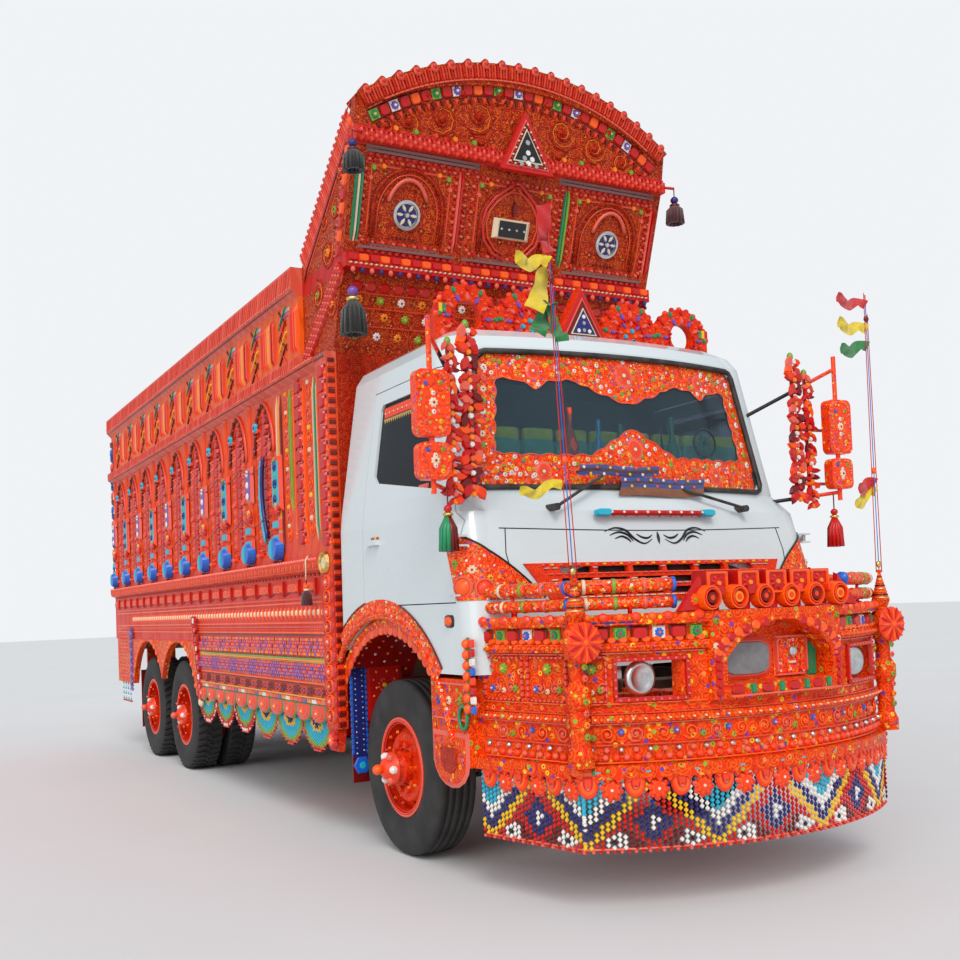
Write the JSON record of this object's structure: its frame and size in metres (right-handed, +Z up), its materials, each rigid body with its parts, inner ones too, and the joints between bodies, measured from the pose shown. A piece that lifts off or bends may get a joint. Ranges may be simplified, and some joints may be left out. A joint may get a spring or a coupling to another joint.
{
  "type": "decorated six-wheeled cargo truck",
  "caption": "Decorated cargo truck with steered front wheels, twin rear wheels, hinged doors and tailgate, a bowed apron, a crest on the cab and a tall crown over the high-sided body.",
  "frame": {"origin": "on the ground at the middle of the whole truck's length and width", "axes": "+Z up, the front towards -Y, the driver's side (right) towards -X"},
  "size_m": [3.05, 9.9998, 5.0881],
  "materials": {
    "frame_paint": "satin chassis black",
    "engine_cast": "painted casting",
    "tank_paint": "worn grey paint",
    "cab_white": "gloss white",
    "glass": "tinted glass",
    "red_paint": "gloss deep red",
    "orange_paint": "gloss orange red with stamped ornament",
    "seat_fabric": "woven cover",
    "dash_plastic": "grained",
    "black_plastic": "satin",
    "bead_plastic": "coloured chains and beads",
    "deck_wood": "worn planks",
    "flap_rubber": "painted flap",
    "stay_steel": "painted stay",
    "tassel_yarn": "bundled yarn",
    "rim_paint": "gloss orange red",
    "tyre": "worn tread"
  },
  "bodies": {
    "truck": {"chassis_frame": "frame_paint", "front_axle": "frame_paint", "drive_axles": "frame_paint", "leaf_springs": "frame_paint", "engine_block": "engine_cast", "propeller_shaft": "frame_paint", "fuel_tank": "tank_paint", "cab_shell": "cab_white", "windscreen": "glass", "grille": "red_paint", "cab_seats": "seat_fabric", "sleeper_bench": "seat_fabric", "dashboard": "dash_plastic", "steering_wheel": "dash_plastic", "roof_crest": "orange_paint", "mirrors": "orange_paint", "wipers": "black_plastic", "apron": "orange_paint", "apron_niche": "orange_paint", "apron_spires": "orange_paint", "apron_lamps": "red_paint", "front_fringe": "bead_plastic", "cargo_floor": "deck_wood", "head_wall": "red_paint", "crown": "orange_paint", "rear_frame": "orange_paint", "side_fringes": "bead_plastic", "mudguards": "flap_rubber", "cab_steps": "orange_paint", "flag_masts": "stay_steel", "tassels": "tassel_yarn", "side_wall_left": "orange_paint", "side_wall_right": "orange_paint", "skirt_left": "orange_paint", "skirt_right": "orange_paint"},
    "tie_rod": {"tie_rod": "frame_paint"},
    "tailgate": {"tailgate": "orange_paint"},
    "knuckle_right": {"knuckle_right": "frame_paint"},
    "front_wheel_right": {"front_wheel_right": "rim_paint", "front_tyre_right": "tyre"},
    "door_right": {"door_right": "cab_white", "door_glass_right": "glass"},
    "middle_wheel_right": {"middle_wheel_right": "rim_paint", "middle_tyres_right": "tyre"},
    "rear_wheel_right": {"rear_wheel_right": "rim_paint", "rear_tyres_right": "tyre"},
    "knuckle_left": {"knuckle_left": "frame_paint"},
    "front_wheel_left": {"front_wheel_left": "rim_paint", "front_tyre_left": "tyre"},
    "door_left": {"door_left": "cab_white", "door_glass_left": "glass"},
    "middle_wheel_left": {"middle_wheel_left": "rim_paint", "middle_tyres_left": "tyre"},
    "rear_wheel_left": {"rear_wheel_left": "rim_paint", "rear_tyres_left": "tyre"}
  },
  "joints": [
    {"name": "steer_right", "type": "hinge", "parent": "truck", "child": "knuckle_right", "pos_m": [-0.9, -2.9, 0.525], "axis": [0, 0, 1], "range_deg": [-32, 32]},
    {"name": "front_wheel_right_spin", "type": "hinge", "parent": "knuckle_right", "child": "front_wheel_right", "pos_m": [-1.02, -2.9, 0.525], "axis": [1, 0, 0], "continuous": true},
    {"name": "door_right_hinge", "type": "hinge", "parent": "truck", "child": "door_right", "pos_m": [-1.251, -3.9, 1.69], "axis": [0, 0, 1], "range_deg": [0, 70]},
    {"name": "middle_wheel_right_spin", "type": "hinge", "parent": "truck", "child": "middle_wheel_right", "pos_m": [-0.925, 1.98, 0.525], "axis": [1, 0, 0], "continuous": true},
    {"name": "rear_wheel_right_spin", "type": "hinge", "parent": "truck", "child": "rear_wheel_right", "pos_m": [-0.925, 3.28, 0.525], "axis": [1, 0, 0], "continuous": true},
    {"name": "steer_left", "type": "hinge", "parent": "truck", "child": "knuckle_left", "pos_m": [0.9, -2.9, 0.525], "axis": [0, 0, 1], "range_deg": [-32, 32]},
    {"name": "front_wheel_left_spin", "type": "hinge", "parent": "knuckle_left", "child": "front_wheel_left", "pos_m": [1.02, -2.9, 0.525], "axis": [1, 0, 0], "continuous": true},
    {"name": "door_left_hinge", "type": "hinge", "parent": "truck", "child": "door_left", "pos_m": [1.251, -3.9, 1.69], "axis": [0, 0, -1], "range_deg": [0, 70]},
    {"name": "middle_wheel_left_spin", "type": "hinge", "parent": "truck", "child": "middle_wheel_left", "pos_m": [0.925, 1.98, 0.525], "axis": [1, 0, 0], "continuous": true},
    {"name": "rear_wheel_left_spin", "type": "hinge", "parent": "truck", "child": "rear_wheel_left", "pos_m": [0.925, 3.28, 0.525], "axis": [1, 0, 0], "continuous": true},
    {"name": "tie_rod_pivot", "type": "hinge", "parent": "knuckle_right", "child": "tie_rod", "pos_m": [-0.838, -2.675, 0.39], "axis": [0, 0, 1], "range_deg": [-32, 32]},
    {"name": "tailgate_hinge", "type": "hinge", "parent": "truck", "child": "tailgate", "pos_m": [0, 4.976, 1.33], "axis": [-1, 0, 0], "range_deg": [0, 90]}
  ],
  "couplings": [
    {"joint": "steer_left", "follows": "steer_right", "ratio": 1},
    {"joint": "tie_rod_pivot", "follows": "steer_right", "ratio": -1}
  ]
}
